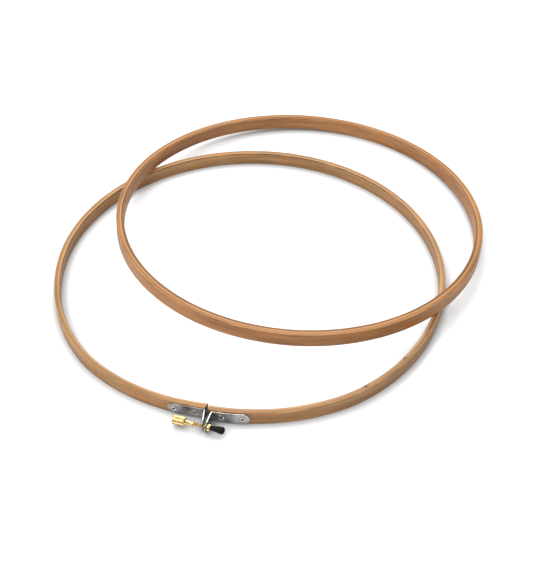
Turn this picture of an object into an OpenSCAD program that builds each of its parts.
// Embroidery hoop: a loose inner hoop leaning on a split outer hoop with a clamp screw.
// Units are millimetres and +Z is up. The outer hoop lies flat on z = 0 with its gap facing -Y.
// The inner hoop touches the ground at its far edge. The origin is under the middle of it all.

/* [Hoops] */
// Outside diameter of the outer hoop's round back
outer_od = 263.8; // [255:0.2:275]
// Thickness of the bent wood strip of both hoops
wall = 3.9; // [3.6:0.1:4.4]
// Height of both hoops
hoop_h = 9.5; // [9:0.5:11]
// Radial play between the inner hoop and the outer hoop when one sits in the other
hoop_play = 0.6; // [0.4:0.1:1.2]
// Eased edge of the wood
ease = 0.45; // [0.3:0.05:0.6]
// Width of the gap between the outer hoop's ends, at their inner faces
gap_w = 0.9; // [0.9:0.1:1.2]
// Shift of the gap's middle along the hoop
gap_shift = 0.35; // [0.25:0.05:0.35]
// Slope of the free half's end cut
cut_l = 20; // [14:1:22]
// Slope of the fixed half's end cut
cut_r = 7; // [4:1:10]

/* [Outer hoop out of round] */
// Where each half starts to flatten, counted from the gap's direction
flat_at = 77.5; // [74:0.5:78]
// Span of the flatter arc
flat_span = 1.3; // [1:0.1:1.5]
// Where each half starts to turn in towards the gap
tight_at = 43.5; // [42:0.5:46]
// Span of the tighter arc, fixed half
pinch_r = 5.6; // [5.4:0.1:5.8]
// Span of the tighter arc, free half
pinch_l = 7.2; // [7:0.1:7.4]

/* [Inner hoop at rest] */
// How far the leaning inner hoop's centre lies from the outer hoop's centre
lean_off = 57.9; // [50:0.1:66]
// Direction of that offset, counted from +X towards +Y
lean_dir = 65.6; // [60:0.1:72]
// Air left between the leaning inner hoop and what it rests on
rest_air = 0.02; // [0.01:0.01:0.05]

/* [Clamp brackets] */
// Sheet thickness of the steel brackets
strap_t = 0.8; // [0.7:0.05:0.9]
// Height of the steel brackets
strap_h = 8; // [7.6:0.1:8.4]
// Length of each strap along the hoop, from its bend to its round end
strap_len = 22.7; // [22.1:0.2:25.1]
// Inside radius of the bend between strap and ear
bend_r = 0.5; // [0.4:0.1:0.7]
// How far each ear stands out from the strap
ear_out = 12.3; // [12.1:0.1:12.6]
// Distance of the screw hole from the strap's outer face
hole_out = 8.9; // [8.7:0.1:9]
// Space between the two ears at their bends
ear_gap = 3.6; // [3.5:0.1:3.9]
// Inward lean of the left ear
lean_l = 6; // [5.5:0.1:6.2]
// Inward lean of the right ear
lean_r = 6.1; // [5.5:0.1:6.4]
// Shift of the pair of ears along the hoop
ear_shift = 0.8; // [0.7:0.05:0.9]
// Radius of the clearance hole in the left ear
ear_hole_r = 1.75; // [1.7:0.05:1.85]

/* [Rivets] */
// Distance of the first rivet from the bend
rivet_1 = 5; // [4.8:0.1:5.4]
// Distance between the two rivets of a bracket
rivet_step = 13.4; // [12.6:0.1:14]
// Radius of the rolled rivet end
rivet_r = 2.25; // [2.1:0.05:2.4]
// Radius of the rivet shank
shank_r = 1.1; // [1:0.05:1.2]

/* [Thumbscrew] */
// Radius of the fluted head
head_r = 2.95; // [2.8:0.05:3]
// Length of the fluted head
head_len = 7.8; // [7.2:0.2:8.2]
// Number of flutes around the head
flutes = 12; // [10:1:14]
// Length of the neck between head and collar
neck_len = 4.8; // [4.6:0.1:5.6]
// Radius of the collar that presses on the left ear
collar_r = 2.1; // [2.05:0.05:2.2]
// Radius of the threaded shaft
shaft_r = 1.2; // [1.15:0.05:1.25]
// Free shaft between the collar and the right ear's gap side
free_len = 7.8; // [7.7:0.1:8.4]
// Outside radius of the nut
nut_r = 2.35; // [2.2:0.05:2.4]
// Length of the nut outside the ear
nut_len = 2.2; // [2:0.1:2.4]
// Length of the tip cap
cap_len = 9; // [8.4:0.2:9.4]
// Largest radius of the tip cap
cap_r = 2.35; // [2.2:0.05:2.4]

/* [Hidden] */
$fn = 96;
ring_fn = 256;

wood = [0.80, 0.62, 0.42];
wood_dark = [0.76, 0.56, 0.36];
steel = [0.66, 0.67, 0.68];
brass = [0.85, 0.68, 0.30];
black = [0.07, 0.07, 0.07];

over = 1;                          // cutters run this far past a face
reach = 5;                         // clipping shapes reach this far past what they clip
fit = 0.02;                        // radial air around rivet shanks and the nut's spigot
screw_air = 0.05;                  // air around the screw, and between nut and cap

outer_r = outer_od / 2;            // outer hoop, outside
outer_bore = outer_r - wall;       // outer hoop, inside
inner_r = outer_bore - hoop_play;  // inner hoop, outside
inner_bore = inner_r - wall;       // inner hoop, inside
mid_z = hoop_h / 2;
cutter_h = hoop_h + 2 * over;      // cutters through the hoop's height
slit = 0.1;                        // split between the two halves at the back
knuckle_r = 1.5;                   // round end of the fixed half at that split
knuckle_y = outer_r - wall / 2;
knuckle_air = 0.05;

// The inner hoop touches the ground at its far edge and lies on the outer hoop's top edge
// where the two cross. Places are counted from the inner hoop's centre along lean_dir.
top_edge_r = outer_r - ease;
rest_edge_r = inner_bore + ease;
cross_at = (top_edge_r * top_edge_r - rest_edge_r * rest_edge_r + lean_off * lean_off)
           / (2 * lean_off) - lean_off;
far_at = inner_r - ease;
tilt = asin(hoop_h / (far_at - cross_at));
lift_z = far_at * sin(tilt) + rest_air;

// Plan of one half: five arcs that run smoothly into each other, from the back to the gap.
// Angles are counted from the gap's direction, and pinch is the span of the tighter arc.
flat_r = 240;
tight_r = 60;
past_gap = 4;                      // degrees that the last arc runs past the gap
arc_radii = [outer_r, flat_r, outer_r, tight_r, outer_r];
function arc_bounds(pinch) =
  [180, flat_at, flat_at - flat_span, tight_at, tight_at - pinch, -past_gap];
function arc_centre(pinch, i) = i == 0 ? [0, 0] :
  let (bound = arc_bounds(pinch)[i])
  arc_centre(pinch, i - 1) + (arc_radii[i - 1] - arc_radii[i]) * [sin(bound), -cos(bound)];
centre_right = arc_centre(pinch_r, 4);  // centre of the arc at the gap, fixed half
centre_left = arc_centre(pinch_l, 4);   // the same of the free half, seen in a mirror

// Brackets: each is set by its bend's centre, seen from the centre of the arc at the gap
bend_out_r = bend_r + strap_t;
bend_dist = outer_r + bend_out_r;
turn_r = asin((ear_gap / 2 + ear_shift + bend_out_r - centre_right[0]) / bend_dist);
turn_l = asin((ear_gap / 2 - ear_shift + bend_out_r - centre_left[0]) / bend_dist);
tip_r = strap_h / 2;               // round end of strap and ear
hole_dist = hole_out - bend_r;     // hole's distance from the bend's centre
rivet_places = [rivet_1, rivet_1 + rivet_step];

// Screw
nut_spigot_r = 1.7;                // part of the nut inside the right ear
nut_end = strap_t + nut_len;       // nut's outer face on the screw's axis
pin_r = 0.8;                       // thin end of the screw inside the cap
pin_len = 6;

// The middle of the whole arrangement, from the outer hoop's axis
axis_x = sin(tilt) * cos(lean_dir);  // inner hoop's tilted axis
axis_y = sin(tilt) * sin(lean_dir);
x_max = lean_off * cos(lean_dir) + axis_x * (hoop_h - ease)
        + inner_r * sqrt(1 - axis_x * axis_x);
y_max = lean_off * sin(lean_dir) + axis_y * (hoop_h - ease)
        + inner_r * sqrt(1 - axis_y * axis_y);
ear_tip_y = centre_right[1] - bend_dist * cos(turn_r) + bend_r * sin(lean_r)
            - (ear_out - bend_r) * cos(lean_r);
mid_x = (x_max - outer_r) / 2;
mid_y = (y_max + ear_tip_y) / 2;

// Where the screw's axis crosses the left ear, measured along that ear from its bend's centre
function turned(angle, point) =
  [point[0] * cos(angle) - point[1] * sin(angle), point[0] * sin(angle) + point[1] * cos(angle)];
screw_at = centre_right + turned(turn_r, [0, -bend_dist])
           + turned(-lean_r, [-bend_out_r, -hole_dist]);
on_left = turned(lean_l,
                 [-screw_at[0], screw_at[1]] - centre_left - turned(turn_l, [0, -bend_dist]));
along = turned(lean_l, [-cos(lean_r), -sin(lean_r)]);
hole_y_left = on_left[1] + along[1] / along[0] * (-bend_r - strap_t / 2 - on_left[0]);

// Angle of a length along the outer hoop's outer face
function hoop_angle(length) = length / outer_r * 180 / PI;

// Moves children from the outer hoop's axis to the middle of the arrangement
module row() {
  translate([-mid_x, -mid_y, 0]) children();
}

// Section of a wood strip with eased edges
module strip_section(r_out, r_in) {
  polygon([[r_in + ease, 0], [r_out - ease, 0], [r_out, ease], [r_out, hoop_h - ease],
           [r_out - ease, hoop_h], [r_in + ease, hoop_h], [r_in, hoop_h - ease], [r_in, ease]]);
}

// One bent strip as a full ring, standing on z = 0
module strip_ring(r_out, r_in) {
  rotate_extrude($fn = ring_fn) strip_section(r_out, r_in);
}

// One half of the outer hoop on the +X side, from the back to a little past the gap
module half_strip(pinch) {
  thin = 0.02;   // the two short arcs are this much thinner on each side
  lap = 12;      // and run 12 degrees / radius, about 0.2 mm, into their neighbours
  bounds = arc_bounds(pinch);
  for (i = [0 : 4]) let (inset = i % 2 * thin, grow = i % 2 * lap / arc_radii[i])
    translate(arc_centre(pinch, i)) rotate([0, 0, bounds[i + 1] - grow - 90])
      rotate_extrude(angle = bounds[i] - bounds[i + 1] + 2 * grow, $fn = ring_fn)
        strip_section(arc_radii[i] - inset, arc_radii[i] - wall + inset);
}

// Moves children to a bracket's bend: -Y runs out along the ear.
// +X points away from the gap, as the left side is mirrored.
module at_ear_right() {
  translate(centre_right) rotate([0, 0, turn_r]) translate([0, -bend_dist, 0])
    rotate([0, 0, -(lean_r + turn_r)]) children();
}
module at_ear_left() {
  mirror([1, 0, 0]) translate(centre_left) rotate([0, 0, turn_l]) translate([0, -bend_dist, 0])
    rotate([0, 0, -(lean_l + turn_l)]) children();
}

// Moves children to the screw's axis: origin on the right ear's gap side, +X towards the tip
module at_screw() {
  at_ear_right() translate([-bend_out_r, -hole_dist, mid_z]) children();
}

// Moves children to a rivet: +Z points out of the hoop, origin on the strip's outer face.
// side is 1 on the right and -1 on the left, and place is the distance from the bend.
module at_rivet(side, place) {
  angle = -90 + side * ((side > 0 ? turn_r : turn_l) + hoop_angle(place));
  centre = side > 0 ? centre_right : [-centre_left[0], centre_left[1]];
  translate(centre) rotate([0, 0, angle]) translate([outer_r, 0, mid_z])
    rotate([0, 90, 0]) children();
}

// The strip's holes and inside pockets for the two rivets of one side
module rivet_holes(side) {
  pocket_depth = 0.6;
  pocket_air = 0.1;
  for (place = rivet_places) at_rivet(side, place) {
    translate([0, 0, -wall - over]) cylinder(h = wall + 2 * over, r = shank_r + fit);
    translate([0, 0, -wall - over]) cylinder(h = over + pocket_depth, r = rivet_r + pocket_air);
  }
}

// What one end's cut takes away: it slopes back from the inner face to the outer face
module end_cut(side, centre, slope) {
  size = 20;
  translate([gap_shift + side * gap_w / 2, centre[1] - outer_bore, -over])
    rotate([0, 0, side * slope])
      translate([side > 0 ? -size : 0, reach - size, 0]) cube([size, size, cutter_h]);
}

module outer_hoop_fixed_half() {
  color(wood) row() difference() {
    union() {
      intersection() {
        half_strip(pinch_r);
        translate([slit / 2, -outer_r - reach, -over])
          cube([outer_r + reach, 2 * (outer_r + reach), cutter_h]);
      }
      intersection() {
        strip_ring(outer_r, outer_bore);
        translate([0, knuckle_y, -over]) cylinder(h = cutter_h, r = knuckle_r);
      }
    }
    end_cut(1, centre_right, cut_r);
    rivet_holes(1);
  }
}

module outer_hoop_free_half() {
  color(wood) row() difference() {
    intersection() {
      mirror([1, 0, 0]) half_strip(pinch_l);
      translate([-outer_r - reach, -outer_r - reach, -over])
        cube([outer_r + reach - slit / 2, 2 * (outer_r + reach), cutter_h]);
    }
    translate([0, knuckle_y, -over]) cylinder(h = cutter_h, r = knuckle_r + knuckle_air);
    end_cut(-1, centre_left, cut_l);
    rivet_holes(-1);
  }
}

module inner_hoop() {
  color(wood_dark) row()
    translate([lean_off * cos(lean_dir), lean_off * sin(lean_dir), lift_z])
      rotate([0, 0, lean_dir]) rotate([0, tilt, 0]) strip_ring(inner_r, inner_bore);
}

// Strap on the hoop with its round end, running from -Y towards +X
module strap() {
  end_angle = -90 + hoop_angle(strap_len) - hoop_angle(tip_r);
  sector_r = outer_r + reach;
  tip_start = 2;                   // the end's cylinder starts this far inside the face
  intersection() {
    difference() {
      translate([0, 0, mid_z - strap_h / 2])
        cylinder(h = strap_h, r = outer_r + strap_t, $fn = ring_fn);
      translate([0, 0, -over]) cylinder(h = cutter_h, r = outer_r, $fn = ring_fn);
    }
    union() {
      translate([0, 0, mid_z - strap_h / 2]) linear_extrude(strap_h)
        polygon([[0, 0], [0, -sector_r], sector_r * [cos(end_angle), sin(end_angle)]]);
      rotate([0, 0, end_angle]) translate([outer_r - tip_start, 0, mid_z]) rotate([0, 90, 0])
        cylinder(h = 6, r = tip_r);
    }
  }
}

// A folded bracket about the centre of the strip's arc, with its bend straight out along -Y.
// lean is the ear's turn from -Y towards -X.
module bracket(lean) {
  ear_flat = ear_out - bend_r - tip_r;
  strap_lap = 0.06;                // the bend's sector opens this far into the strap
  ear_lap = 1.5;                   // and by these degrees into the ear
  difference() {
    union() {
      strap();
      // bend and ear
      translate([0, -bend_dist, mid_z - strap_h / 2]) linear_extrude(strap_h) {
        intersection() {
          difference() {
            circle(r = bend_out_r);
            circle(r = bend_r);
          }
          polygon([[0, 0], [strap_lap, reach], [-reach, reach],
                   [-reach * cos(lean - ear_lap), reach * sin(lean - ear_lap)]]);
        }
        rotate(-lean) translate([-bend_out_r, -ear_flat]) square([strap_t, ear_flat]);
      }
      // the ear's round tip
      translate([0, -bend_dist, 0]) rotate([0, 0, -lean])
        translate([-bend_out_r, -ear_flat, mid_z]) rotate([0, 90, 0])
          cylinder(h = strap_t, r = tip_r);
    }
    for (place = rivet_places)
      rotate([0, 0, -90 + hoop_angle(place)]) translate([outer_r - over, 0, mid_z])
        rotate([0, 90, 0]) cylinder(h = 4, r = shank_r + fit);
  }
}

module clamp_bracket_right() {
  color(steel) row() difference() {
    translate(centre_right) rotate([0, 0, turn_r]) bracket(lean_r + turn_r);
    at_screw() translate([-over, 0, 0]) rotate([0, 90, 0])
      cylinder(h = 4, r = nut_spigot_r + fit);
  }
}

module clamp_bracket_left() {
  color(steel) row() difference() {
    mirror([1, 0, 0]) translate(centre_left) rotate([0, 0, turn_l]) bracket(lean_l + turn_l);
    at_ear_left() translate([-bend_out_r - over, hole_y_left, mid_z]) rotate([0, 90, 0])
      cylinder(h = 4, r = ear_hole_r);
  }
}

// A tubular rivet: flat head let into the wood, shank, and a rolled end on the strap
module rivet() {
  head_sink = 0.12;                // head below the strip's inner face
  bore_depth = 0.9;                // below the strap's outer face
  color(steel) difference() {
    union() {
      translate([0, 0, -wall + head_sink]) cylinder(h = 0.45, r = rivet_r);
      translate([0, 0, -wall + head_sink]) cylinder(h = wall + strap_t, r = shank_r);
      // rolled end: radius, height above the strap
      translate([0, 0, strap_t]) rotate_extrude()
        polygon([[0, 0], [rivet_r, 0], [rivet_r, 0.18], [rivet_r - 0.3, 0.42],
                 [rivet_r - 0.75, 0.5], [1, 0.44], [0, 0.44]]);
    }
    translate([0, 0, strap_t - bore_depth]) cylinder(h = 3, r = 0.7);
  }
}

module rivet_right_near() { row() at_rivet(1, rivet_places[0]) rivet(); }
module rivet_right_far() { row() at_rivet(1, rivet_places[1]) rivet(); }
module rivet_left_near() { row() at_rivet(-1, rivet_places[0]) rivet(); }
module rivet_left_far() { row() at_rivet(-1, rivet_places[1]) rivet(); }

module clamp_nut() {
  bevel = 0.25;
  color(brass) row() at_screw() rotate([0, 90, 0]) difference() {
    union() {
      cylinder(h = strap_t, r = nut_spigot_r);
      translate([0, 0, strap_t]) rotate_extrude()
        polygon([[0, 0], [nut_r, 0], [nut_r, nut_len - bevel], [nut_r - bevel, nut_len],
                 [0, nut_len]]);
    }
    translate([0, 0, -over]) cylinder(h = nut_end + 2 * over, r = shaft_r + screw_air);
  }
}

module screw_tip_cap() {
  color(black) row() at_screw() translate([nut_end + screw_air, 0, 0]) rotate([0, 90, 0])
    difference() {
      // radius, distance from the nut's end of the cap
      rotate_extrude()
        polygon([[0, 0], [1.35, 0], [1.5, 0.2], [1.55, 1.6], [1.8, 3.2], [2.1, 4.8],
                 [cap_r, 6.6], [cap_r, cap_len - 1.5], [cap_r * 0.87, cap_len - 0.7],
                 [cap_r * 0.55, cap_len - 0.15], [0, cap_len]]);
      translate([0, 0, -over]) cylinder(h = over + pin_len + screw_air, r = pin_r + screw_air);
    }
}

module thumbscrew() {
  // places along the screw, from the head's free end
  neck_end = head_len + neck_len;
  collar_end = neck_end + 0.7;
  shaft_end = collar_end + free_len + nut_end;
  pin_end = shaft_end + pin_len;
  start = -free_len - collar_end;
  flute_inset = 0.9;               // plain rim at each end of the flutes
  color(brass) row() at_screw() rotate([0, 90, 0]) {
    difference() {
      translate([0, 0, start]) rotate_extrude()
        polygon([[0, 0], [head_r - 0.5, 0], [head_r, 0.5], [head_r, head_len - 0.4],
                 [head_r - 0.4, head_len], [1.7, head_len], [1.3, neck_end],
                 [collar_r, neck_end], [collar_r, collar_end], [shaft_r, collar_end],
                 [shaft_r, shaft_end], [pin_r, shaft_end], [pin_r, pin_end], [0, pin_end]]);
      for (i = [0 : flutes - 1]) rotate([0, 0, i * 360 / flutes])
        translate([head_r + 0.15, 0, start + flute_inset])
          cylinder(h = head_len - 2 * flute_inset, r = 0.5, $fn = 24);
    }
  }
}

outer_hoop_fixed_half();
outer_hoop_free_half();
inner_hoop();
clamp_bracket_right();
clamp_bracket_left();
rivet_right_near();
rivet_right_far();
rivet_left_near();
rivet_left_far();
clamp_nut();
screw_tip_cap();
thumbscrew();
